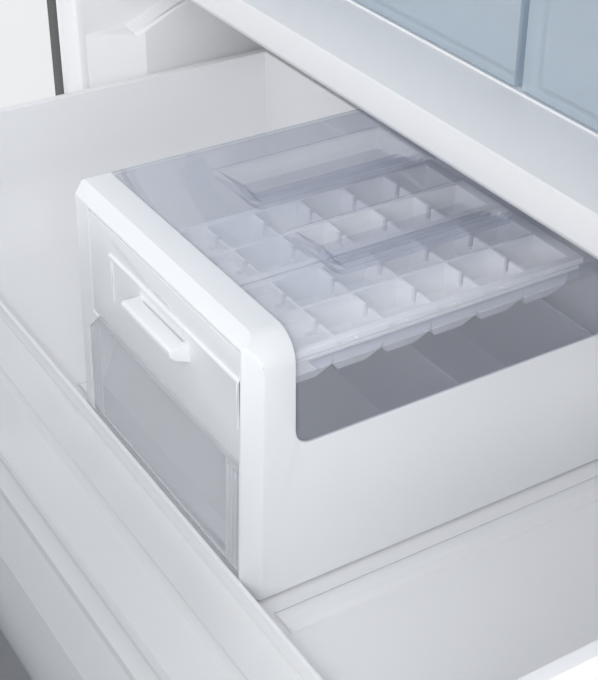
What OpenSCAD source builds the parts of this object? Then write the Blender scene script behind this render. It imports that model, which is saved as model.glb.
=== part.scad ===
// Refrigerator with two upper doors over a pull-out freezer drawer, built as separate pieces.
// Frame: X right, Y towards the back (Y = 0 is the cabinet's front plane), Z up, floor at Z = 0.
// The doors and the drawer are drawn open, which is the rest position of every joint.

/* [Cabinet] */
// Outer width of the steel cabinet
cab_w = 908; // [700:1000]
// Depth of the cabinet without doors
cab_d = 607; // [560:700]
// Height of the cabinet without hinge covers
cab_h = 1750; // [1600:1900]
// Thickness of the steel sheet
sheet = 1; // [0.6:0.1:1.5]
// Thickness of the plastic liners
liner = 2; // [1.5:0.5:3]
// Width of the steel edge around the two openings
edge_w = 25; // [12:30]
// Half width inside the liners
half_in = 395; // [350:450]
// Depth of the cold compartments
deep_in = 550; // [500:580]

/* [Levels] */
// Inside floor of the freezer
freezer_z0 = 115; // [100:150]
// Inside ceiling of the freezer
freezer_z1 = 688; // [600:720]
// Height up to which the freezer side walls are thicker
shoulder_z = 630; // [560:660]
// Floor of the fresh food compartment
fresh_z0 = 747.5; // [700:800]
// Ceiling of the fresh food compartment
fresh_z1 = 1690; // [1500:1800]

/* [Doors] */
// Thickness of doors and drawer front
door_t = 60; // [45:80]
// Gap between door back and cabinet front
door_gap = 8; // [6:12]
// Bottom of the upper doors
door_z0 = 743; // [730:760]
// Top of the upper doors
door_z1 = 1748; // [1600:1900]
// Angle at which both doors stand open
door_open = 140; // [0:150]
// Hinge axis distance from the centre plane
hinge_x = 440; // [420:450]
// Hinge axis in front of the cabinet
hinge_y = -38; // [-50:-30]

/* [Drawer] */
// Distance the drawer stands out
drawer_open = 360; // [0:420]
// Bottom of the drawer front
drawer_z0 = 100; // [90:120]
// Top of the drawer front
drawer_z1 = 738; // [700:740]

/* [Upper tray] */
// Half width inside the tray
tray_half = 339; // [300:345]
// Tray floor
tray_z = 498; // [470:520]
// Top edge of the tray walls
tray_top = 606; // [560:640]
// Front edge of the tray
tray_y0 = -180; // [-220:-150]
// Back edge of the tray
tray_y1 = 150; // [145:160]
// Fillet between tray floor and walls
tray_r = 52; // [10:70]

/* [Ice box] */
// Width of the ice box
ib_w = 222; // [180:260]
// Depth of the ice box
ib_d = 280; // [240:300]
// Height of the ice box
ib_h = 173.2; // [150:180]
// Radius of the upper edge on the right
ib_r = 18; // [10:25]
// Radius of the upper edge on the left
ib_rl = 4; // [3:8]
// Distance the front face stands out at its foot
ib_nose = 7.7; // [5:10]
// Angle by which the front face leans back
ib_tilt = 1.6; // [0:0.1:2]
// Chamfer along both upright edges of the front
ib_chamfer = 9; // [6:10]
// Height of the white side walls
ib_side = 102; // [80:120]
// Front edge of the clear cover
ib_lid_y = 25; // [20:40]
// Number of deep ice cells along each row
cells = 5; // [3:5]
// Distance between ice cells
pitch = 33; // [28:34]
// Width of one ice tray
ice_w = 75.5; // [70:76]

/* [Output] */
// Sub-part to draw, or all

/* [Hidden] */
$fn = 64;
hw = cab_w / 2;
tiny = 0.01;
door_y0 = -door_gap - door_t;
door_y1 = -door_gap;
door_x1 = hw - 2;
ib_x = 140;
ib_y = -141;

// ---------- helpers ----------
module box(a, b) {
    translate(a) cube(b - a);
}
// both() draws its children and their mirror image across the centre plane
module both() {
    children();
    mirror([1, 0, 0]) children();
}
// along_x() extrudes a (y, z) outline from x0 to x1
module along_x(x0, x1) {
    translate([x0, 0, 0]) rotate([90, 0, 90]) linear_extrude(x1 - x0) children();
}
// along_y() extrudes an (x, z) outline from y0 to y1
module along_y(y0, y1) {
    translate([0, y1, 0]) rotate([90, 0, 0]) linear_extrude(y1 - y0) children();
}
module along_z(z0, z1) {
    translate([0, 0, z0]) linear_extrude(z1 - z0) children();
}
// rounded rectangle outline
module rrect(a, b, r) {
    translate([a[0] + r, a[1]]) square([b[0] - a[0] - 2 * r, b[1] - a[1]]);
    translate([a[0], a[1] + r]) square([b[0] - a[0], b[1] - a[1] - 2 * r]);
    for (x = [a[0] + r, b[0] - r], y = [a[1] + r, b[1] - r]) translate([x, y]) circle(r);
}
module in_right_door() {
    translate([hinge_x, hinge_y, 0]) rotate([0, 0, door_open]) translate([-hinge_x, -hinge_y, 0])
        children();
}
module in_left_door() {
    mirror([1, 0, 0]) in_right_door() children();
}
module in_drawer() {
    translate([0, -drawer_open, 0]) children();
}
module in_ice_box() {
    translate([ib_x, ib_y, tray_z]) children();
}

// ---------- cabinet ----------
module cabinet_shell() color("dimgray") {
    difference() {
        box([-hw, 0, 62], [hw, cab_d - sheet, cab_h]);
        box([-hw + sheet, -1, 61], [hw - sheet, cab_d, cab_h - sheet]);
    }
    both() box([hw - edge_w, 0, 62], [hw - sheet / 2, sheet, cab_h - sheet / 2]);
    box([-hw + 1, 0, cab_h - 16], [hw - 1, sheet, cab_h - sheet / 2]);
}
module cabinet_back() color("gray")
    box([-hw, cab_d - sheet, 300], [hw, cab_d, cab_h]);

module base_frame() color("gray") difference() {
    union() {
        both() box([hw - 24, 4, 40], [hw - 19, 604, 62]);
        both() box([hw - 24, 4, 57], [hw - 1, 604, 62]);
        box([-hw + 2, 4, 34], [hw - 2, 8, 62]);
        box([-hw + 2, 4, 57], [hw - 2, 60, 62]);
        box([-hw + 2, 370, 60], [hw - 2, 604, 62]);
        both() for (x = [399, 427]) box([x, 540, 14], [x + 3, 580, 61]);
        both() translate([400, 560, 26]) rotate([0, 90, 0]) cylinder(r = 6, h = 29);
    }
    both() translate([415, 30, 50]) cylinder(r = 5.3, h = 20);
}
module levelling_feet() color("dimgray") both() {
    translate([415, 30, 0]) cylinder(r = 20, h = 9);
    translate([415, 30, 9 - tiny]) cylinder(r = 5, h = 52);
}
module roller() difference() {
    rotate([0, 90, 0]) cylinder(r = 26, h = 21, center = true);
    rotate([0, 90, 0]) cylinder(r = 6.06, h = 30, center = true);
    for (s = [-1, 1]) translate([s * 10, 0, 0]) rotate([0, 90, 0]) difference() {
        cylinder(r = 20, h = 7, center = true);
        cylinder(r = 10, h = 8, center = true);
    }
}
module rear_roller_left() color("black") translate([-414.5, 560, 26]) roller();
module rear_roller_right() color("black") translate([414.5, 560, 26]) roller();

// room inside the freezer liner, grown by g
module freezer_space(g) difference() {
    union() {
        // wider upper part, with a shoulder that rises towards the back
        along_x(-half_in - g, half_in + g) polygon([[-1, shoulder_z - g], [45, shoulder_z - g],
            [173, freezer_z1 + g], [-1, freezer_z1 + g]]);
        along_z(freezer_z0 - g, freezer_z1 + g) polygon([[-half_in - g, -1], [-half_in - g, 8],
            [-375 - g, 53], [-375 - g, deep_in + g], [375 + g, deep_in + g], [375 + g, 53],
            [half_in + g, 8], [half_in + g, -1]]);
    }
    along_x(-400, 400) polygon([[330 + g, freezer_z0 - 20], [330 + g, freezer_z0], [400 + g, 330 - g],
        [600, 330 - g], [600, freezer_z0 - 20]]);
}
module freezer_liner() color("white") difference() {
    union() {
        intersection() {
            freezer_space(liner);
            box([-450, 0, 0], [450, 600, 800]);
        }
        box([-hw + edge_w, 0, 62], [hw - edge_w, 2.5, 718]);
    }
    freezer_space(0);
    box([-half_in - 2.1, -1, freezer_z1 - tiny], [half_in + 2.1, 59, 800]);
}
module fresh_food_liner() color("white") {
    difference() {
        union() {
            box([-half_in - liner, 0, fresh_z0 - liner],
                [half_in + liner, deep_in + liner, fresh_z1 + liner]);
            box([-hw + edge_w, 0, 718], [hw - edge_w, 2.5, cab_h - 16]);
        }
        box([-half_in, -1, fresh_z0], [half_in, deep_in, fresh_z1]);
        box([-half_in - 2.1, -1, 700], [half_in + 2.1, 59, fresh_z0 + tiny]);
    }
    for (z = [1206, 1431], s = [0, 1]) mirror([s, 0, 0])
        box([half_in - 8, 120, z - 12], [half_in + tiny, 520, z]);
    for (s = [0, 1]) mirror([s, 0, 0])
        box([half_in - 8, 120, 950], [half_in + tiny, 520, 962]);
}
// inside of the bar between the compartments, open towards the back
module mullion_inside() polygon([[2.5, fresh_z0 - 2.5], [2.5, fresh_z0 - 20], [5.4, fresh_z0 - 23.3],
    [60, freezer_z1 + 2.4], [60, fresh_z0 - 2.5]]);
module centre_mullion() color("white") {
    along_x(-half_in + 0.1, half_in - 0.1) difference() {
        polygon([[0, fresh_z0], [0, fresh_z0 - 21], [4, fresh_z0 - 25.5], [59, freezer_z1], [59, fresh_z0]]);
        mullion_inside();
    }
    // cheeks that close the ends below the sloping underside
    both() box([half_in - 2, 0, freezer_z1], [half_in - 0.1, 59, fresh_z0 - 21]);
}
module insulation_foam() color("khaki") {
    difference() {
        box([-hw + sheet, 2.5, 62], [hw - sheet, cab_d - sheet, cab_h - sheet]);
        freezer_space(liner);
        box([-half_in - liner, -1, fresh_z0 - liner],
            [half_in + liner, deep_in + liner, fresh_z1 + liner]);
        box([-half_in - liner, -1, 680], [half_in + liner, 59, 760]);
        along_x(-460, 460) polygon([[366, 62], [366, 300 - 140], [436, 300], [620, 300], [620, 62]]);
    }
    along_x(-half_in + 3, half_in - 3) mullion_inside();
}

// ---------- cold side ----------
module evaporator_cover() color("white") difference() {
    union() {
        box([-370, 516, 334], [370, 518.5, 682]);
        both() box([367.5, 516, 334], [370, deep_in, 682]);
        box([-370, 516, 679.5], [370, deep_in, 682]);
    }
    for (i = [0 : 4]) box([-220, 515, 640 - 14 * i - 40], [-80, 519, 646 - 14 * i - 40]);
    for (i = [0 : 4]) box([80, 515, 640 - 14 * i - 40], [220, 519, 646 - 14 * i - 40]);
    for (i = [0 : 2]) box([-300, 515, 350 + 14 * i], [300, 519, 356 + 14 * i]);
}
module evaporator_coil() color("silver") {
    for (i = [0 : 5]) translate([-250, 534, 400 + 26 * i]) rotate([0, 90, 0]) cylinder(r = 4, h = 500);
    for (i = [0 : 4]) translate([(i % 2 == 0 ? 1 : -1) * 250, 534, 413 + 26 * i]) rotate([90, 0, 0])
        rotate([0, 0, i % 2 == 0 ? -90 : 90]) rotate_extrude(angle = 180) translate([13, 0]) circle(4);
    for (i = [0 : 24]) box([-240 + 20 * i - 0.5, 523, 388], [-240 + 20 * i + 0.5, 545, 542]);
    for (x = [-245, 244]) box([x, 523, 386], [x + 1.5, deep_in, 544]);
}
module fan_motor() color("gray") {
    translate([0, deep_in, 612]) rotate([90, 0, 0]) cylinder(r = 18, h = 13);
    translate([0, deep_in - 12, 612]) rotate([90, 0, 0]) cylinder(r = 3, h = 17);
}
module evaporator_fan() color("dimgray") translate([0, 529, 612]) rotate([90, 0, 0]) difference() {
    union() {
        cylinder(r = 14, h = 12, center = true);
        for (a = [0 : 60 : 300]) rotate([0, 0, a]) translate([28, 0, 0]) rotate([32, 0, 0])
            cube([36, 17, 1.6], center = true);
    }
    cylinder(r = 3.05, h = 40, center = true);
}
module air_duct() color("white") difference() {
    box([-120, 528, 1000], [120, deep_in, 1660]);
    box([-117.5, 530.5, 1002.5], [117.5, deep_in + 1, 1657.5]);
    for (z = [1080, 1300, 1520], i = [0 : 3]) box([-90, 527, z + 14 * i], [90, 532, z + 6 + 14 * i]);
}
module control_panel() color("whitesmoke") {
    difference() {
        box([-160, 42, 1666], [160, 180, fresh_z1]);
        box([-157.5, 44.5, 1668.5], [157.5, 177.5, fresh_z1 + 1]);
        box([-120, 60, 1665], [120, 150, 1669]);
    }
    box([-122, 58, 1668], [122, 152, 1670]);
    for (i = [-2 : 2]) translate([i * 40, 42.5, 1678]) rotate([90, 0, 0]) cylinder(r = 6, h = 2);
}
module shelf_glass(z) box([-388, 110, z - 2], [388, 518, z + 2]);
module shelf_frame(z) difference() {
    box([-half_in + 0.6, 104, z - 6.5], [half_in - 0.6, 524, z + 6.5]);
    box([-378, 122, z - 10], [378, 510, z + 10]);
    shelf_glass(z);
}
module shelf_upper_glass() color("lightblue") shelf_glass(1438);
module shelf_upper_frame() color("white") shelf_frame(1438);
module shelf_lower_glass() color("lightblue") shelf_glass(1213);
module shelf_lower_frame() color("white") shelf_frame(1213);
module crisper_cover() color("lightblue") {
    box([-half_in + 0.6, 62, 962], [half_in - 0.6, 524, 967]);
    box([-half_in + 0.6, 62, 959], [half_in - 0.6, 70, 978]);
    box([86, 70, 966], [94, 524, 974]);
}
// one crisper drawer from x0 to x1
module crisper(x0, x1) {
    difference() {
        union() {
            box([x0 + 4, 66, 750], [x1 - 4, 505, 948]);
            along_x(x0, x1) polygon([[60, 749], [60, 950], [67, 950], [67, 749]]);
        }
        box([x0 + 6.5, 68, 752.5], [x1 - 6.5, 502.5, 960]);
        box([x0 + 30, 59, 925], [x1 - 30, 63, 951]);
    }
    box([x0 + 4, 66, 945], [x0 + 8, 505, 948]);
    for (x = [x0 + 20, x1 - 26]) box([x, 70, 748.2], [x + 6, 500, 751]);
}
module crisper_left() color("lightsteelblue") crisper(-388, 86);
module crisper_right() color("lightsteelblue") crisper(93, 388);

// ---------- machine compartment ----------
module compressor() color("black") translate([230, 490, 62]) {
    difference() {
        union() {
            cylinder(r = 80, h = 150);
            translate([0, 0, 150]) scale([1, 1, 0.35]) sphere(r = 80);
            box([-95, -70, 0], [95, 70, 4]);
        }
        translate([0, 0, 12]) cylinder(r = 72, h = 136);
    }
    box([-30, 76, 60], [30, 100, 120]);
    translate([-40, 30, 150]) cylinder(r = 5, h = 70);
}
module condenser_coil() color("dimgray") {
    for (i = [0 : 4], k = [0, 1]) translate([-400, 430 + 30 * i, 100 + 70 * k]) rotate([0, 90, 0])
        cylinder(r = 4, h = 380);
    for (x = [-390, -210, -32]) box([x, 424, 62], [x + 3, 556, 182]);
    for (i = [0 : 3], k = [0, 1]) translate([i % 2 == 0 ? -20 : -400, 445 + 30 * i, 100 + 70 * k])
        rotate([0, 0, i % 2 == 0 ? -90 : 90]) rotate_extrude(angle = 180) translate([15, 0]) circle(4);
}
module machine_cover() color("gray") difference() {
    box([-hw + 1.5, cab_d - 3, 62], [hw - 1.5, cab_d - 1, 300]);
    for (x = [-300 : 60 : 300], i = [0 : 4])
        box([x - 22, cab_d - 4, 180 + 18 * i], [x + 22, cab_d, 187 + 18 * i]);
    box([-401, cab_d - 4, 99], [-359, cab_d, 131]);
}
module mains_inlet() color("black") difference() {
    union() {
        box([-400.8, cab_d - 30, 99.2], [-359.2, cab_d, 130.8]);
        box([-406, cab_d - 1, 94], [-354, cab_d + 1.5, 136]);
    }
    box([-394, cab_d - 22, 104], [-366, cab_d + 2, 126]);
}
module kick_grille() color("dimgray") difference() {
    union() {
        box([-450, -10, 28], [450, -0.4, 94]);
        box([-450, -1, 28], [450, 4, 60]);
    }
    box([-447, -7, 31], [447, 5, 91]);
    for (x = [-390 : 60 : 390], i = [0 : 2]) box([x - 24, -11, 42 + 14 * i], [x + 24, -6, 49 + 14 * i]);
}

// ---------- hinges ----------
module top_hinges() color("silver") both() {
    box([400, -56, cab_h], [452, 60, cab_h + 4]);
    translate([hinge_x, hinge_y, cab_h - 18]) cylinder(r = 5, h = 20);
    for (y = [20, 45]) translate([425, y, cab_h + 4 - tiny]) cylinder(r = 7, h = 4);
}
module hinge_covers() color("dimgray") both() difference() {
    box([394, -62, cab_h], [453.5, 74, cab_h + 26]);
    box([396.5, -59.5, cab_h - 1], [452.7, 71.5, cab_h + 23.5]);
}
module centre_hinges() color("silver") both() {
    box([410, -56, 739], [452, 0, 742]);
    box([439.5, -2.5, 739], [452, 0, 765]);
    translate([hinge_x, hinge_y, 741]) cylinder(r = 5, h = 16);
}

// ---------- doors, drawn closed for the right-hand side ----------
module door_skin() difference() {
    box([2, door_y0, door_z0], [door_x1, door_y1 - 2, door_z1]);
    box([2 + sheet, door_y0 + sheet, door_z0 + sheet], [door_x1 - sheet, 0, door_z1 - sheet]);
    translate([hinge_x, hinge_y, door_z0 - 5]) cylinder(r = 5.06, h = door_z1);
}
module door_foam() difference() {
    box([2 + sheet, door_y0 + sheet, door_z0 + sheet], [door_x1 - sheet, door_y1 - 2, door_z1 - sheet]);
    translate([hinge_x, hinge_y, door_z0 - 5]) cylinder(r = 7, h = 27);
    translate([hinge_x, hinge_y, door_z1 - 22]) cylinder(r = 7, h = 30);
}
module door_liner() {
    box([2 + sheet, door_y1 - 2, door_z0 + sheet], [door_x1 - sheet, door_y1, door_z1 - sheet]);
    difference() {
        box([58, door_y1 - tiny, 775], [388, 34, 1680]);
        box([74, door_y1, 791], [372, 40, 1664]);
    }
    for (z = [985, 1225, 1465], x = [73, 365]) box([x, door_y1 - tiny, z], [x + 8, 30, z + 14]);
}
module door_gasket() difference() {
    box([12, door_y1, 744.5], [432, -0.8, 1736]);
    box([23, door_y1 - 1, 756], [421, 0, 1725]);
}
module door_handle() {
    translate([40, -106, 830]) cylinder(r = 10, h = 560);
    for (z = [870, 1350]) translate([40, -106, z]) rotate([-90, 0, 0]) cylinder(r = 8, h = 106 + door_y0);
}
module door_bin(z) difference() {
    union() {
        box([82, -7.5, z], [364, 78, z + 90]);
        box([74.5, -7.5, z + 14.5], [371.5, 28, z + 60]);
    }
    box([84.5, -5, z + 2.5], [361.5, 75.5, z + 100]);
    box([110, 70, z + 62], [336, 80, z + 68]);
}
module door_bins() for (z = [985, 1225, 1465]) door_bin(z);

module left_door_skin() color("silver") in_left_door() door_skin();
module left_door_foam() color("khaki") in_left_door() door_foam();
// brackets that carry the pivot of the flipper
module flipper_brackets() difference() {
    for (z = [776, 1662]) box([33, door_y1 - tiny, z], [60, 16, z + 12]);
    translate([40, 10, 700]) cylinder(r = 4.06, h = 1000);
}
module left_door_liner() color("white") in_left_door() {
    door_liner();
    flipper_brackets();
}
module left_door_gasket() color("gainsboro") in_left_door() door_gasket();
module left_door_handle() color("silver") in_left_door() door_handle();
module left_door_bins() color("lightblue") in_left_door() door_bins();
module right_door_skin() color("silver") in_right_door() door_skin();
module right_door_foam() color("khaki") in_right_door() door_foam();
module right_door_liner() color("white") in_right_door() door_liner();
module right_door_gasket() color("gainsboro") in_right_door() door_gasket();
module right_door_handle() color("silver") in_right_door() door_handle();
module right_door_bins() color("lightblue") in_right_door() door_bins();
// folded back beside the door's dyke, as it stands while the door is open
module flipper_mullion() color("white") in_left_door() {
    box([32, 2, 790], [48, 84, 1660]);
    translate([40, 10, 779]) cylinder(r = 4, h = 892);
}

// ---------- freezer drawer, drawn closed ----------
module drawer_skin() color("silver") in_drawer() difference() {
    box([-door_x1, door_y0, drawer_z0], [door_x1, door_y1 - 2, drawer_z1]);
    box([-door_x1 + sheet, door_y0 + sheet, drawer_z0 + sheet], [door_x1 - sheet, 0, drawer_z1 - sheet]);
}
module drawer_foam() color("khaki") in_drawer()
    box([-door_x1 + sheet, door_y0 + sheet, drawer_z0 + sheet],
        [door_x1 - sheet, door_y1 - 2, drawer_z1 - sheet]);
module drawer_liner() color("white") in_drawer() difference() {
    union() {
        box([-door_x1 + sheet, door_y1 - 2, drawer_z0 + sheet],
            [door_x1 - sheet, door_y1, drawer_z1 - sheet]);
        along_y(door_y1 - tiny, 2) rrect([-330, 150], [330, 640], 30);
    }
    along_y(door_y1, 5) rrect([-316, 164], [316, 626], 16);
}
module drawer_gasket() color("gainsboro") in_drawer() difference() {
    box([-432, door_y1, 102], [432, -0.8, 735]);
    box([-421, door_y1 - 1, 113], [421, 0, 724]);
}
module drawer_handle() color("silver") in_drawer() {
    translate([-310, -106, 690]) rotate([0, 90, 0]) cylinder(r = 10, h = 620);
    for (x = [-270, 270]) translate([x, -106, 690]) rotate([-90, 0, 0]) cylinder(r = 8, h = 106 + door_y0);
}
module drawer_slides() color("silver") both() difference() {
    box([364, 54, 425], [375, 500, 455]);
    box([360, 50, 427], [373, 510, 453]);
}
module drawer_frames() color("silver") in_drawer() both() {
    box([350, door_y1, 420], [353, 495, 494]);
    box([352, door_y1, 427.6], [372.4, 495, 431]);
    box([352, door_y1, 449], [372.4, 495, 452.4]);
    box([352, door_y1, 427.6], [356, 495, 452.4]);
    box([338, door_y1, 491.5], [353, 495, 494]);
    box([341, door_y1, 434], [352, 495, 436]);
    box([338, door_y1, 420], [353, door_y1 + 4, 494]);
}
module lower_basket() color("white") in_drawer() difference() {
    union() {
        box([-336, 10, 150], [336, 330, 438]);
        box([-348, 10, 436], [348, 330, 439]);
    }
    box([-333, 13, 153], [333, 327, 470]);
    for (x = [-260 : 65 : 260]) box([x - 5, 5, 220], [x + 5, 335, 400]);
    for (y = [60 : 55 : 280]) box([-340, y - 5, 220], [340, y + 5, 400]);
}

// ---------- upper tray ----------
module tray_outline(g) {
    translate([-tray_half - g + tray_r, tray_z - g]) square([2 * (tray_half + g - tray_r), 200]);
    translate([-tray_half - g, tray_z - g + tray_r]) square([2 * (tray_half + g), 200]);
    for (s = [-1, 1]) translate([s * (tray_half + g - tray_r), tray_z - g + tray_r]) circle(tray_r);
}
module upper_tray() color("white") {
    difference() {
        union() {
            intersection() {
                along_y(tray_y0, tray_y1) tray_outline(3);
                box([-400, -400, 400], [400, 400, tray_top]);
            }
            both() box([tray_half, tray_y0, tray_top - 3], [tray_half + 8, tray_y1, tray_top]);
            box([-tray_half - 8, tray_y1 - 3, tray_top - 3], [tray_half + 8, tray_y1 + 2, tray_top]);
        }
        along_y(tray_y0 - 1, tray_y1 - 3) tray_outline(0);
    }
    for (x = [161.5, -104]) intersection() {
        translate([x, tray_y0 + 42, tray_z]) rotate([-90, 0, 0]) scale([1, 0.3, 1])
            cylinder(r = 9.5, h = 278);
        box([-300, -200, tray_z - 1], [300, 200, tray_z + 5]);
    }
}
// clear moulding: upright lip, cover plate on the tray floor, curved nose with ridges
module tray_fascia() color("lightblue") along_x(-tray_half + 52, tray_half - 52) polygon([
    [-149.2, tray_z], [-149.2, tray_z + 16.2], [-149.8, tray_z + 16.8], [-151.2, tray_z + 16.8],
    [-152.2, tray_z + 15.8], [-152.6, tray_z + 5], [-154.4, tray_z + 2.6], [-176, tray_z + 2.2],
    [-178, tray_z + 3.6],
    [-181, tray_z + 3.6], [-183, tray_z + 1.9], [-194, tray_z + 0.9], [-206, tray_z - 1.3],
    [-209.5, tray_z - 2.2], [-211.5, tray_z - 1.6], [-213.5, tray_z - 3.4], [-214.2, tray_z - 5.2],
    [-219, tray_z - 7.8], [-221.2, tray_z - 8.4], [-223.2, tray_z - 8.8], [-224.8, tray_z - 11.8],
    [-232, tray_z - 16.2], [-240, tray_z - 21.8], [-242.6, tray_z - 23.2], [-244.6, tray_z - 26],
    [-251, tray_z - 33], [-255.6, tray_z - 41], [-258, tray_z - 48], [-258.6, tray_z - 53],
    [-256.2, tray_z - 53], [-255.6, tray_z - 48.6], [-253.4, tray_z - 42], [-249, tray_z - 34.4],
    [-242.4, tray_z - 27.2], [-230.6, tray_z - 18.4], [-218, tray_z - 10.2], [-206, tray_z - 4.4],
    [-192, tray_z - 1.6], [-181, tray_z - 0.4], [-180.2, tray_z]]);

// ---------- ice box, in its own frame: origin at the front right lower corner ----------
module ib_outline(g) {
    translate([-ib_w + g, 1.5 + g]) square([ib_w - 2 * g, ib_h - ib_r - 1.5 - g]);
    translate([-ib_w + g, 10]) square([ib_w - ib_r - g, ib_h - ib_rl - 10]);
    translate([-ib_w + ib_rl, 10]) square([ib_w - ib_rl - ib_r, ib_h - g - 10]);
    translate([-ib_r, ib_h - ib_r]) circle(ib_r - g);
    translate([-ib_w + ib_rl, ib_h - ib_rl]) circle(ib_rl - g);
}
// turns what belongs to the front face to its lean
module leaning() rotate([-ib_tilt, 0, 0]) children();
// everything in front of the leaning face, its upright chamfers and its shallow upper bevel
module ib_front_cut() {
    leaning() {
        box([-300, -60, -20], [100, -ib_nose, 240]);
        translate([-ib_chamfer, -ib_nose, -20]) rotate([0, 0, 45]) translate([-30, -40, 0])
            cube([80, 40, 260]);
        translate([-ib_w + ib_chamfer, -ib_nose, -20]) rotate([0, 0, -45]) translate([-50, -40, 0])
            cube([80, 40, 260]);
    }
    translate([-300, -3, ib_h - 4.3]) rotate([24.1, 0, 0]) translate([0, -30, 0]) cube([400, 80, 30]);
}
// outline of the opening for the bin, with one corner cut off, shrunk by g
module bin_outline(g) polygon([[-202 + g, 12.5 + g], [-202 + g, 79.5 - g / 2], [-186 - g / 2, 95.5 - g],
    [-9.4 - g, 95.5 - g], [-9.4 - g, 12.5 + g]]);
// side outline of the clear part, with a rounded lower front corner
module ib_window(g) {
    r = 10;
    translate([ib_lid_y + g + r, ib_side + g]) square([277.6 - g - ib_lid_y - g - r, 100]);
    translate([ib_lid_y + g, ib_side + g + r]) square([277.6 - g - ib_lid_y - g, 100]);
    translate([ib_lid_y + g + r, ib_side + g + r]) circle(r);
}
module ice_box_housing() color("white") in_ice_box() {
    difference() {
        along_y(-15, ib_d) ib_outline(0);
        ib_front_cut();
        along_y(9, ib_d - 2.4) ib_inner();
        along_x(-ib_w - 1, 1) ib_window(0);
        along_y(-20, 20) bin_outline(0);
        box([-194.5, -20, 95], [-9.4, 20, 166.5]);
    }
    for (x = [-16, -ib_w + 16], y = [20, ib_d - 45]) translate([x, y, 0]) cylinder(r = 7, h = 1.6);
    // ledges that carry the bin, and one for the right arm of the tray carrier
    box([-ib_w + 2, 20, 14.6], [-193, ib_d - 2, 16.6]);
    box([-20, 20, 14.6], [-2, ib_d - 2, 16.6]);
}
module ib_inner() intersection() {
    ib_outline(2.5);
    translate([-300, 3.5]) square([400, ib_h - 6]);
}
module ice_box_cover() color("lightblue") in_ice_box() difference() {
    union() {
        // thin wall with a deeper rim along the front edge
        intersection() {
            difference() {
                along_y(ib_lid_y, ib_d) ib_outline(0.05);
                along_y(ib_lid_y + 2.8, ib_d + 1) ib_outline(2);
                along_y(ib_lid_y - 1, ib_lid_y + 4) rrect([-ib_w + 6, 0], [-6, ib_h - 6], ib_r - 6);
            }
            along_x(-ib_w - 1, 1) ib_window(0.3);
        }
        for (x = [-188.4, -97.9]) box([x, 78, ib_h - 14.5], [x + 50.6, 205, ib_h + 0.9]);
        box([-13.6, 40, 144.9], [-2 + tiny, 270, 146.9]);
    }
    for (x = [-188.4, -97.9]) {
        intersection() {
            along_y(80, 203) polygon([[x + 2, ib_h + 2], [x + 4.5, ib_h - 12.5], [x + 26, ib_h - 12.5],
                [x + 28, ib_h - 7], [x + 46, ib_h - 6], [x + 48.6, ib_h + 2]]);
            along_x(-300, 100) polygon([[80, ib_h + 2], [98, ib_h - 12.5], [199, ib_h - 12.5],
                [203, ib_h + 2]]);
        }
        intersection() {
            along_y(76, 207) difference() {
                translate([x - 1, ib_h - 16]) square([52.6, 14.2]);
                polygon([[x, ib_h], [x + 2.5, ib_h - 14.5], [x + 28, ib_h - 14.5], [x + 29.8, ib_h - 8.9],
                    [x + 48.1, ib_h - 8], [x + 50.6, ib_h]]);
            }
            box([-300, 76, ib_h - 16], [100, 207, ib_h - 2]);
        }
        along_x(x - 2, x + 52) polygon([[77, ib_h - 2], [77, ib_h - 16], [96.2, ib_h - 14.5],
            [78.2, ib_h - 2]]);
    }
}
module carrier_front() color("white") in_ice_box() {
    leaning() difference() {
        union() {
            box([-194, -ib_nose + 0.2, 95.9], [-9.9, -ib_nose + 3, 165.6]);
            along_x(-127, -66) polygon([[-ib_nose + 1, 128.5], [-ib_nose - 9, 132.5], [-ib_nose - 12, 135.5],
                [-ib_nose - 12, 138.8], [-ib_nose - 10.5, 140.2], [-ib_nose + 1, 140.2]]);
        }
        // finger slot behind the tab and the hollow above it
        box([-125, -ib_nose - 1, 140.2], [-70, -ib_nose + 2, 142.6]);
        translate([-97.5, -ib_nose - 1, 142.6]) rotate([-90, 0, 0]) scale([1, 0.4, 1])
            cylinder(r = 27.5, h = 1.55);
    }
    // arms under the rims of the two trays
    box([-166, -5, 147.2], [-9.9, 15.8, 149.7]);
    for (x = [[-166, -160], [-90.5, -83], [-13.8, -9.9]]) box([x[0], 15.7, 147.2], [x[1], 226, 149.7]);
    for (x = [-164, -13]) box([x, -5, 118], [x + 2, 15.8, 148]);
}
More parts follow.
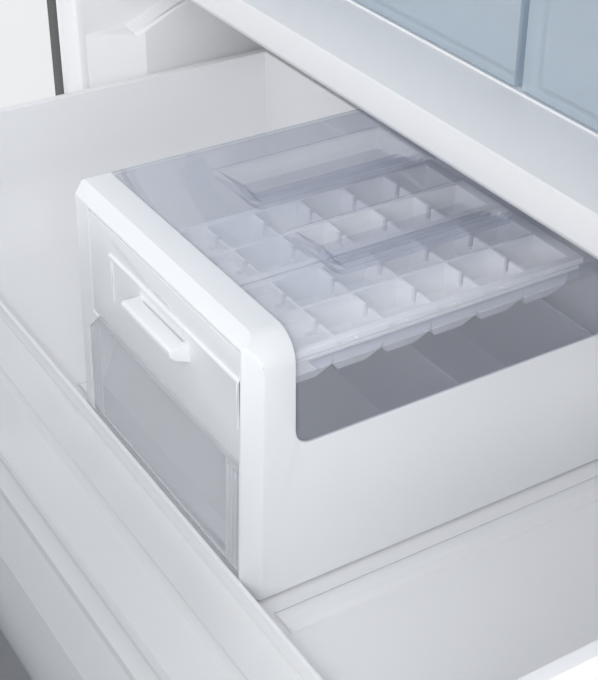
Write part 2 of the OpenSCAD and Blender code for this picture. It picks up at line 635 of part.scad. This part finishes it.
// one ice tray, right-hand edge at x = 0: a shallow landing, then deep cells in two rows
module ice_tray() {
    w = ice_w;
    y0 = 16;
    y_cells = y0 + 41;
    y1 = y_cells + cells * pitch + 7;
    z0 = 127;
    z1 = 154;
    row = w / 2 - 4;
    // front and back ends of each cell, the landing included
    ends = [for (i = [-1 : cells - 1]) [i < 0 ? y0 + 4 : y_cells + i * pitch, y_cells + (i + 1) * pitch]];
    difference() {
        union() {
            for (e = ends, k = [0, 1]) intersection() {
                along_x(-w, 0) polygon([[e[0] - 1, z1 - 1], [e[0] + 0.5, z0 + 9], [e[0] + 7, z0],
                    [e[1] - 7, z0], [e[1] - 0.5, z0 + 9], [e[1] + 1, z1 - 1]]);
                along_y(y0, y1) polygon([[-4 - k * row - k * 0.01, z1 - 1], [-4.5 - k * row, z0 + 9],
                    [-10 - k * row, z0], [-4 - (k + 1) * row + 6, z0], [-4 - (k + 1) * row + 0.5, z0 + 9],
                    [-4 - (k + 1) * row, z1 - 1]]);
            }
            box([-w, y0, z1 - 4], [0, y1, z1]);
        }
        for (e = ends, k = [0, 1]) intersection() {
            depth = e[0] < y_cells ? 6 : z1 - z0 - 1.6;
            along_x(-w, 0) polygon([[e[0] + 1, z1 + 1], [e[0] + 2, z1 - min(depth, 18)],
                [e[0] + 8, z1 - depth], [e[1] - 8, z1 - depth], [e[1] - 2, z1 - min(depth, 18)],
                [e[1] - 1, z1 + 1]]);
            along_y(y0, y1) polygon([[-5 - k * row, z1 + 1], [-6.2 - k * row, z1 - min(depth, 18)],
                [-11.5 - k * row, z1 - depth], [-4 - (k + 1) * row + 7.5, z1 - depth],
                [-4 - (k + 1) * row + 2.2, z1 - min(depth, 18)], [-4 - (k + 1) * row + 1, z1 + 1]]);
        }
        // notches that let the water run from cell to cell
        for (k = [0, 1]) box([-4 - (k + 0.5) * row - 2.2, y_cells - 6, z1 - 9],
            [-4 - (k + 0.5) * row + 2.2, y_cells + (cells - 1) * pitch + 6, z1 + 1]);
        // pockets along the outer rim
        for (i = [0 : cells - 1])
            box([-1.6, y_cells + i * pitch + 1, z1 - 3.2], [1, y_cells + i * pitch + 13, z1 - 1]);
    }
}
module ice_tray_right() color("white") in_ice_box() translate([-10.5, 0, 0]) ice_tray();
module ice_tray_left() color("white") in_ice_box() translate([-87.5, 0, 0]) ice_tray();
module ice_bin() color("lightblue") in_ice_box() difference() {
    union() {
        leaning() difference() {
            along_y(-ib_nose + 0.3, -ib_nose + 13) bin_outline(0.5);
            box([-220, -20, 0], [0, 20, 17.3]);
        }
        along_y(2, 255) polygon([[-200.8, 17.2], [-200.8, 78.5], [-193.3, 86], [-10.4, 86], [-10.4, 17.2]]);
    }
    box([-198.6, 30, 19.2], [-12.6, 150, 100]);
    box([-198.6, 152, 19.2], [-12.6, 252.8, 100]);
    // hollow front: upright lower face, slanted face above it, under a flange
    along_x(-188.4, -26.2) polygon([[-20, 19.5], [-5.6, 19.5], [-5.2, 43], [7.5, 73.5], [8, 90.6],
        [-20, 90.6]]);
    along_x(-188.4, -26.2) polygon([[-3.4, 19.2], [40, 19.2], [40, 110], [10.2, 110], [9.7, 73], [-3, 42.4]]);
    // upright grooves in the right-hand pillar, and hollows behind both pillars
    leaning() for (x = [-23, -18.6, -14.2]) box([x, -20, 19], [x + 2.2, -ib_nose + 1.8, 88]);
    box([-198.6, 8, 19.2], [-190.6, 40, 110]);
    box([-24, 8, 19.2], [-12.6, 40, 110]);
}

cabinet_shell();
cabinet_back();
base_frame();
insulation_foam();
freezer_liner();
fresh_food_liner();
centre_mullion();
evaporator_cover();
evaporator_coil();
fan_motor();
evaporator_fan();
air_duct();
compressor();
condenser_coil();
machine_cover();
mains_inlet();
kick_grille();
levelling_feet();
rear_roller_left();
rear_roller_right();
top_hinges();
hinge_covers();
centre_hinges();
control_panel();
shelf_upper_glass();
shelf_upper_frame();
shelf_lower_glass();
shelf_lower_frame();
crisper_cover();
crisper_left();
crisper_right();
drawer_slides();
left_door_skin();
left_door_foam();
left_door_liner();
left_door_gasket();
left_door_handle();
left_door_bins();
flipper_mullion();
right_door_skin();
right_door_foam();
right_door_liner();
right_door_gasket();
right_door_handle();
right_door_bins();
drawer_skin();
drawer_foam();
drawer_liner();
drawer_gasket();
drawer_handle();
drawer_frames();
lower_basket();
upper_tray();
tray_fascia();
ice_box_housing();
ice_box_cover();
carrier_front();
ice_tray_left();
ice_tray_right();
ice_bin();
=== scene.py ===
import math

import bpy
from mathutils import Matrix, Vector


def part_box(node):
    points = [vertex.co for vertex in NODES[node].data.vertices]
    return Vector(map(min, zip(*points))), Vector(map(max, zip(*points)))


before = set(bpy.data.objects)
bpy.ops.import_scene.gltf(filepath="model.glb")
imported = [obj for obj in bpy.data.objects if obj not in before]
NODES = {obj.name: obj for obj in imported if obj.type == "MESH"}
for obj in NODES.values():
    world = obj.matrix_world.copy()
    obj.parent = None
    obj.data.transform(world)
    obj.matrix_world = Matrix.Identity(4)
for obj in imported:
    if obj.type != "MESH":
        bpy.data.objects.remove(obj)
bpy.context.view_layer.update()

scene = bpy.context.scene

# ------------------------------------------------------------------ shader building blocks
# Colours are linear RGB, lengths are metres, and noise scales are cycles per metre.

GRAIN_DEPTH = 0.0002      # height of moulded grain and of metal streaks
PEEL_DEPTH = 0.0003       # height of the orange peel on paint
FOAM_DEPTH = 0.001        # height of the cells on cut foam
WAVE_DEPTH = 0.001        # height of the slow waves on clear plastic
WAVE_SCALE = 35
WAVE_STRENGTH = 0.05
MOTTLE = 0.003            # how far a plastic's colour strays from its mean
SHINE = (0.95, 0.96, 0.98)
MILK = (0.84, 0.855, 0.89)
MILK_SHADE = 0.985        # darkest milk, as a share of its colour


def new_mat(name):
    """An empty material: its node tree and one Principled shader on the output."""
    m = bpy.data.materials.new(name)
    m.use_nodes = True
    nt = m.node_tree
    nt.nodes.clear()
    out = nt.nodes.new("ShaderNodeOutputMaterial")
    bsdf = nt.nodes.new("ShaderNodeBsdfPrincipled")
    nt.links.new(bsdf.outputs[0], out.inputs[0])
    return m, nt, bsdf


def coords(nt, scale=(1, 1, 1)):
    """Object coordinates, stretched by scale."""
    tc = nt.nodes.new("ShaderNodeTexCoord")
    mp = nt.nodes.new("ShaderNodeMapping")
    mp.inputs["Scale"].default_value = scale
    nt.links.new(tc.outputs["Object"], mp.inputs[0])
    return mp.outputs[0]


def noise(nt, vec, scale, detail=3.0, rough=0.5):
    n = nt.nodes.new("ShaderNodeTexNoise")
    n.inputs["Scale"].default_value = scale
    n.inputs["Detail"].default_value = detail
    n.inputs["Roughness"].default_value = rough
    nt.links.new(vec, n.inputs["Vector"])
    return n.outputs[0]


def remap(nt, val, lo, hi, start=0.0, end=1.0):
    """lo where val is start or less, hi where it is end or more, and a straight line between."""
    r = nt.nodes.new("ShaderNodeMapRange")
    r.inputs["From Min"].default_value = start
    r.inputs["From Max"].default_value = end
    r.inputs["To Min"].default_value = lo
    r.inputs["To Max"].default_value = hi
    nt.links.new(val, r.inputs["Value"])
    return r.outputs[0]


def ramp(nt, val, c0, c1, p0=0.0, p1=1.0):
    """Colour c0 up to p0, c1 from p1 on."""
    r = nt.nodes.new("ShaderNodeValToRGB")
    for stop, place, colour in zip(r.color_ramp.elements, (p0, p1), (c0, c1)):
        stop.position = place
        stop.color = (*colour, 1)
    nt.links.new(val, r.inputs[0])
    return r.outputs[0]


def bump(nt, shader, height, strength, dist):
    b = nt.nodes.new("ShaderNodeBump")
    b.inputs["Strength"].default_value = strength
    b.inputs["Distance"].default_value = dist
    nt.links.new(height, b.inputs["Height"])
    nt.links.new(b.outputs[0], shader.inputs["Normal"])


def facing(nt, power, lo, hi):
    """Grows from lo, seen square on, to hi at a grazing view."""
    lw = nt.nodes.new("ShaderNodeLayerWeight")
    lw.inputs["Blend"].default_value = 0.5
    p = nt.nodes.new("ShaderNodeMath")
    p.operation = "POWER"
    p.inputs[1].default_value = power
    nt.links.new(lw.outputs["Facing"], p.inputs[0])
    return remap(nt, p.outputs[0], lo, hi)


def above(nt, height, soft):
    """0 below a height over the floor at rest, 1 above it, with a soft step of 2 * soft."""
    tc = nt.nodes.new("ShaderNodeTexCoord")
    xyz = nt.nodes.new("ShaderNodeSeparateXYZ")
    nt.links.new(tc.outputs["Object"], xyz.inputs[0])
    return remap(nt, xyz.outputs["Z"], 0.0, 1.0, height - soft, height + soft)


def mix_shaders(nt, first, second):
    """A mix of two shaders; its input 0 is the share of the second."""
    mix = nt.nodes.new("ShaderNodeMixShader")
    nt.links.new(first.outputs[0], mix.inputs[1])
    nt.links.new(second.outputs[0], mix.inputs[2])
    return mix


# ------------------------------------------------------------------ kinds of material


def plastic(name, col, rough=0.35, spread=0.03, grain=900, bumpy=0.04, sss=0.0, var=MOTTLE):
    """Moulded plastic: faint mottled colour, uneven gloss and a fine moulded grain."""
    m, nt, b = new_mat(name)
    v = coords(nt)
    low = tuple(max(0, c - var) for c in col)
    high = tuple(min(1, c + var) for c in col)
    nt.links.new(ramp(nt, noise(nt, v, 2.5, 2), low, high, 0.2, 0.8), b.inputs["Base Color"])
    nt.links.new(remap(nt, noise(nt, v, 40, 3), rough - spread, rough + spread), b.inputs["Roughness"])
    bump(nt, b, noise(nt, v, grain, 2), bumpy, GRAIN_DEPTH)
    if sss:
        b.inputs["Subsurface Weight"].default_value = sss
        b.inputs["Subsurface Radius"].default_value = (0.01, 0.01, 0.01)
        b.inputs["Subsurface Scale"].default_value = 0.3
    return m


def clear(name, col, edge, rough=0.03, haze=0.06, gloss=0.045, milk_col=MILK, painted_highlight_above=None):
    """Thin clear plastic: lets light through, darker where seen edge on, with a faint milky haze.

    Above the given height it is all milk: a painted highlight, where the clear lip is made solid white
    to stand in for the bright band of reflected light along it."""
    m, nt, spare = new_mat(name)
    nt.nodes.remove(spare)
    out = next(n for n in nt.nodes if n.type == "OUTPUT_MATERIAL")
    v = coords(nt)

    see = nt.nodes.new("ShaderNodeBsdfTransparent")
    tint = nt.nodes.new("ShaderNodeMix")
    tint.data_type = "RGBA"
    tint.inputs[6].default_value = (*col, 1)
    tint.inputs[7].default_value = (*edge, 1)
    nt.links.new(facing(nt, 2.2, 0.0, 1.0), tint.inputs[0])
    nt.links.new(tint.outputs[2], see.inputs["Color"])

    milk = nt.nodes.new("ShaderNodeBsdfDiffuse")
    low = tuple(c * MILK_SHADE for c in milk_col)
    nt.links.new(ramp(nt, noise(nt, v, 5, 2), low, milk_col, 0.2, 0.8), milk.inputs["Color"])
    body = mix_shaders(nt, see, milk)
    body.inputs[0].default_value = haze
    # painted highlight: above this height the clear plastic is all milk, solid white in place of a
    # bright reflection
    if painted_highlight_above is not None:
        nt.links.new(remap(nt, above(nt, painted_highlight_above, 0.001), haze, 1.0), body.inputs[0])

    shine = nt.nodes.new("ShaderNodeBsdfGlossy")
    shine.inputs["Color"].default_value = (*SHINE, 1)
    nt.links.new(remap(nt, noise(nt, v, 60, 2), rough * 0.6, rough * 1.5), shine.inputs["Roughness"])
    bump(nt, shine, noise(nt, v, WAVE_SCALE, 2), WAVE_STRENGTH, WAVE_DEPTH)
    coated = mix_shaders(nt, body, shine)
    nt.links.new(facing(nt, 5.0, gloss, 0.9), coated.inputs[0])
    nt.links.new(coated.outputs[0], out.inputs[0])
    return m


def metal(name, col, rough, grain=(1, 1, 1), scale=300):
    """Brushed or drawn metal: fine streaks in gloss and height along one direction."""
    m, nt, b = new_mat(name)
    streaks = noise(nt, coords(nt, grain), scale, 3)
    low = tuple(c * 0.94 for c in col)
    nt.links.new(ramp(nt, streaks, low, col, 0.3, 0.7), b.inputs["Base Color"])
    b.inputs["Metallic"].default_value = 1.0
    nt.links.new(remap(nt, streaks, rough - 0.08, rough + 0.08), b.inputs["Roughness"])
    bump(nt, b, streaks, 0.03, GRAIN_DEPTH)
    return m


def painted(name, col, rough):
    """Painted steel: orange-peel bump and small gloss changes."""
    m, nt, b = new_mat(name)
    v = coords(nt)
    low = tuple(c * 0.93 for c in col)
    nt.links.new(ramp(nt, noise(nt, v, 5, 3), low, col, 0.35, 0.65), b.inputs["Base Color"])
    peel = noise(nt, v, 500, 2)
    nt.links.new(remap(nt, peel, rough - 0.05, rough + 0.06), b.inputs["Roughness"])
    bump(nt, b, peel, 0.08, PEEL_DEPTH)
    return m


def foam(name):
    """Yellow polyurethane foam with a rough cellular surface."""
    m, nt, b = new_mat(name)
    cells = noise(nt, coords(nt), 220, 5, 0.6)
    nt.links.new(ramp(nt, cells, (0.62, 0.55, 0.36), (0.80, 0.74, 0.55), 0.35, 0.65),
                 b.inputs["Base Color"])
    b.inputs["Roughness"].default_value = 0.9
    bump(nt, b, cells, 0.5, FOAM_DEPTH)
    return m


# ------------------------------------------------------------------ the refrigerator's materials

WHITE = (0.865, 0.875, 0.895)
CLEAR = (0.985, 0.988, 0.995)
STEEL = (0.55, 0.56, 0.57)
LIP_HIGHLIGHT_H = 0.011             # height of the painted highlight: the band on top of the tray's clear front that is made solid white to stand in for its bright reflection
LIP_HIGHLIGHT_Z = float(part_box("tray_fascia")[1][2]) - LIP_HIGHLIGHT_H

MATERIALS = {
    "white": plastic("white_plastic", WHITE, 0.38, 0.05),
    # painted shade: the centre mullion is the same white plastic, given a darker colour to stand in for
    # the shade on it
    "bar_shaded_white": plastic("bar_plastic", (0.76, 0.765, 0.78), 0.36, 0.05),
    "liner": plastic("liner_white", (0.88, 0.885, 0.895), 0.30, 0.04, grain=700, bumpy=0.05),
    "tray": plastic("tray_white", (0.885, 0.89, 0.905), 0.30, 0.04, grain=500, bumpy=0.03),
    "icetray": plastic("ice_tray_white", (0.92, 0.925, 0.94), 0.42, 0.05, sss=0.1),
    "clear": clear("clear_plastic", CLEAR, (0.62, 0.65, 0.75), rough=0.02, haze=0.07,
                   milk_col=(0.88, 0.90, 0.95)),
    "clear_bin": clear("clear_bin_plastic", CLEAR, (0.60, 0.64, 0.74), rough=0.05, haze=0.42,
                       gloss=0.06, milk_col=(0.985, 0.988, 1.0)),
    # the top of the clear front is painted solid white as a painted highlight of its lip
    "fascia": clear("clear_fascia_plastic", (0.97, 0.975, 0.98), (0.80, 0.81, 0.85), rough=0.10,
                    haze=0.90, milk_col=(0.945, 0.95, 0.96), painted_highlight_above=LIP_HIGHLIGHT_Z),
    "door_bin": clear("door_bin_plastic", (0.97, 0.98, 0.985), (0.72, 0.76, 0.80), rough=0.04,
                      haze=0.08),
    "glass": clear("shelf_glass", (0.96, 0.98, 0.975), (0.50, 0.66, 0.60), rough=0.01, haze=0.02),
    "crisper": clear("crisper_plastic", (0.84, 0.90, 0.94), (0.55, 0.66, 0.74), rough=0.12,
                     haze=0.42, milk_col=(0.76, 0.83, 0.89)),
    "steel": metal("brushed_steel", STEEL, 0.32, (1, 1, 60), 90),
    "steel_h": metal("brushed_steel_drawer", STEEL, 0.32, (1, 60, 60), 90),
    "bar": metal("bar_steel", (0.60, 0.61, 0.62), 0.22, scale=400),
    "zinc": metal("zinc_steel", (0.62, 0.63, 0.64), 0.35, scale=60),
    "alu": metal("aluminium_fins", (0.75, 0.76, 0.77), 0.35, scale=250),
    "cabinet": painted("cabinet_paint", (0.030, 0.030, 0.031), 0.42),
    "grey": painted("grey_paint", (0.22, 0.225, 0.23), 0.45),
    "black": painted("black_paint", (0.015, 0.015, 0.016), 0.35),
    "rail": painted("rail_paint", (0.74, 0.75, 0.77), 0.35),
    "dark": plastic("dark_plastic", (0.035, 0.036, 0.038), 0.5, 0.06, grain=1200, bumpy=0.08, var=0.006),
    "gasket": plastic("gasket_rubber", (0.58, 0.59, 0.61), 0.55, 0.05, grain=800, bumpy=0.06),
    "foam": foam("foam_insulation"),
}
MADE_OF = {
    "bar_shaded_white": ["centre_mullion"],
    "white": ["ice_box_housing", "carrier_front", "control_panel", "shelf_upper_frame",
              "shelf_lower_frame", "flipper_mullion", "air_duct", "lower_basket"],
    "liner": ["freezer_liner", "fresh_food_liner", "left_door_liner", "right_door_liner",
              "drawer_liner", "evaporator_cover"],
    "tray": ["upper_tray"],
    "icetray": ["ice_tray_left", "ice_tray_right"],
    "clear": ["ice_box_cover"],
    "clear_bin": ["ice_bin"],
    "fascia": ["tray_fascia"],
    "door_bin": ["left_door_bins", "right_door_bins"],
    "glass": ["shelf_upper_glass", "shelf_lower_glass"],
    "crisper": ["crisper_left", "crisper_right", "crisper_cover"],
    "steel": ["left_door_skin", "right_door_skin"],
    "steel_h": ["drawer_skin"],
    "bar": ["left_door_handle", "right_door_handle", "drawer_handle"],
    "zinc": ["levelling_feet", "top_hinges", "centre_hinges", "drawer_slides"],
    "alu": ["evaporator_coil"],
    "cabinet": ["cabinet_shell"],
    "grey": ["cabinet_back", "machine_cover", "base_frame"],
    "black": ["compressor", "condenser_coil"],
    "rail": ["drawer_frames"],
    "dark": ["fan_motor", "evaporator_fan", "mains_inlet", "kick_grille", "rear_roller_left",
             "rear_roller_right", "hinge_covers"],
    "gasket": ["left_door_gasket", "right_door_gasket", "drawer_gasket"],
    "foam": ["insulation_foam", "left_door_foam", "right_door_foam", "drawer_foam"],
}
for key, names in MADE_OF.items():
    for name in names:
        slots = NODES[name].data.materials
        slots.clear()
        slots.append(MATERIALS[key])

# ------------------------------------------------------------------ rounded edges on the CAD nodes

WELD_GAP = 1e-5           # joins the doubled points of the CAD mesh
ROUND_STEPS = 3
ROUND_ABOVE = 35          # degrees: sharper creases than this are rounded
SPLIT_ABOVE = 18          # degrees: creases left over shade as crisp edges

# widths of the rounded edges
ROUNDED = {
    "ice_box_housing": 0.0010, "carrier_front": 0.0006, "ice_box_cover": 0.0006, "ice_bin": 0.0006,
    "ice_tray_left": 0.0004, "ice_tray_right": 0.0004, "tray_fascia": 0.0004,
    "upper_tray": 0.0010, "lower_basket": 0.0012, "centre_mullion": 0.0015,
    "fresh_food_liner": 0.003, "freezer_liner": 0.004,
    "crisper_left": 0.0012, "crisper_right": 0.0012, "crisper_cover": 0.0015,
    "left_door_skin": 0.003, "right_door_skin": 0.003, "drawer_skin": 0.003,
    "left_door_liner": 0.003, "right_door_liner": 0.003, "drawer_liner": 0.003,
    "left_door_bins": 0.0015, "right_door_bins": 0.0015, "flipper_mullion": 0.003,
    "shelf_upper_frame": 0.002, "shelf_lower_frame": 0.002, "control_panel": 0.002,
    "cabinet_shell": 0.0008, "hinge_covers": 0.003, "kick_grille": 0.001,
}


def soften(node, width):
    """Rounds the sharp edges of a node by modifiers; its mesh stays as it is."""
    weld = node.modifiers.new("weld", "WELD")
    weld.merge_threshold = WELD_GAP
    bevel = node.modifiers.new("round", "BEVEL")
    bevel.width = width
    bevel.segments = ROUND_STEPS
    bevel.limit_method = "ANGLE"
    bevel.angle_limit = math.radians(ROUND_ABOVE)
    bevel.use_clamp_overlap = False
    crisp = node.modifiers.new("crisp", "EDGE_SPLIT")
    crisp.split_angle = math.radians(SPLIT_ABOVE)


for name, width in ROUNDED.items():
    soften(NODES[name], width)
for node in NODES.values():
    for face in node.data.polygons:
        face.use_smooth = True

# ------------------------------------------------------------------ floor, light, camera

FLOOR_HALF = 14.0
KEY_AT, KEY_AIM, KEY_SIZE, KEY_WATTS = (-1.3, -3.4, 2.3), (0.1, 0.0, 0.7), (2.8, 2.2), 10
FILL_AT, FILL_AIM, FILL_SIZE, FILL_WATTS = (2.5, -1.9, 2.1), (0.1, 0.0, 0.6), (2.6, 2.2), 78
SKY, SKY_STRENGTH = (0.97, 0.98, 1.0), 0.92

# the camera looks down into the open freezer drawer: tilt, roll and heading in degrees
CAMERA_AT = (0.67383, -0.44545, 1.07640)
CAMERA_TURN = (56.97945, -0.18547, 58.33926)
CAMERA_LENS = 77.21
SENSOR_W = 36


def pale_floor():
    h = FLOOR_HALF
    mesh = bpy.data.meshes.new("floor")
    mesh.from_pydata([(-h, -h, 0), (h, -h, 0), (h, h, 0), (-h, h, 0)], [], [(0, 1, 2, 3)])
    mesh.materials.append(plastic("floor_pale", (0.93, 0.93, 0.93), 0.6, 0.05, grain=60, bumpy=0.02))
    floor = bpy.data.objects.new("floor", mesh)
    scene.collection.objects.link(floor)


def soft_light(name, place, aim, size, watts):
    """A rectangular area light that faces the point aim."""
    light = bpy.data.lights.new(name, "AREA")
    light.shape = "RECTANGLE"
    light.size, light.size_y = size
    light.energy = watts
    ob = bpy.data.objects.new(name, light)
    ob.location = place
    ob.rotation_euler = (Vector(aim) - Vector(place)).to_track_quat("-Z", "Y").to_euler()
    scene.collection.objects.link(ob)


def studio_sky():
    world = bpy.data.worlds.new("studio")
    world.use_nodes = True
    sky = world.node_tree.nodes["Background"]
    sky.inputs[0].default_value = (*SKY, 1)
    sky.inputs[1].default_value = SKY_STRENGTH
    scene.world = world


def add_camera():
    cam = bpy.data.cameras.new("camera")
    cam.sensor_fit = "AUTO"
    cam.sensor_width = SENSOR_W
    cam.lens = CAMERA_LENS
    cam.clip_start = 0.02
    cam.clip_end = 60
    ob = bpy.data.objects.new("camera", cam)
    ob.location = CAMERA_AT
    ob.rotation_euler = [math.radians(a) for a in CAMERA_TURN]
    scene.collection.objects.link(ob)
    scene.camera = ob


pale_floor()
soft_light("key", KEY_AT, KEY_AIM, KEY_SIZE, KEY_WATTS)
soft_light("fill", FILL_AT, FILL_AIM, FILL_SIZE, FILL_WATTS)
studio_sky()
add_camera()
scene.view_settings.view_transform = "Standard"
scene.view_settings.look = "None"
# light has to reach the inside of clear boxes in clear boxes
scene.cycles.transparent_max_bounces = 24
scene.cycles.diffuse_bounces = 6
